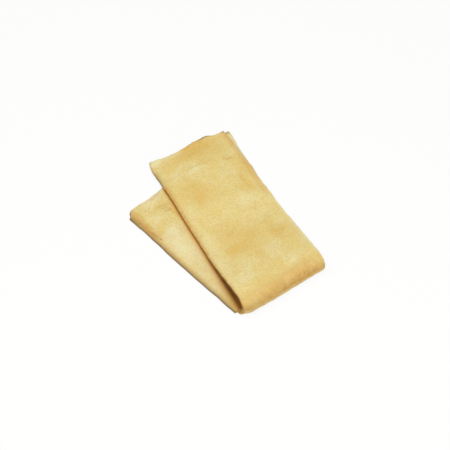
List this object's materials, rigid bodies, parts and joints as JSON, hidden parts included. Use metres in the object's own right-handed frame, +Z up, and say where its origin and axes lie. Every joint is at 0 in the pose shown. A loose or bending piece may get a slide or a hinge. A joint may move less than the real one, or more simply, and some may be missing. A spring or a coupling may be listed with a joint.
{
  "type": "chamois leather",
  "caption": "Soft chamois leather skin, folded lengthwise into plies and once across, lying askew on itself with a rounded open fold at the front.",
  "frame": {"origin": "under the middle of the folded chamois, on the surface that it lies on", "axes": "+Z up from that surface, +Y from the cross fold towards the far ends, +X along the cross fold to the right"},
  "size_m": [0.1992, 0.284, 0.0324],
  "materials": {
    "chamois": "soft napped suede, mottled straw yellow"
  },
  "bodies": {
    "lower_half": {"lower_cover_panel": "chamois", "lower_tucked_panel": "chamois", "lower_inner_panel": "chamois", "lower_left_fold": "chamois", "lower_right_fold": "chamois"},
    "upper_half": {"upper_cover_panel": "chamois", "upper_tucked_panel": "chamois", "upper_inner_panel": "chamois", "upper_left_fold": "chamois", "upper_right_fold": "chamois"}
  },
  "joints": [
    {"name": "cross_fold", "type": "hinge", "parent": "lower_half", "child": "upper_half", "pos_m": [0, -0.14231, 0.0162], "axis": [1, 0, 0], "range_deg": [0, 180]}
  ]
}
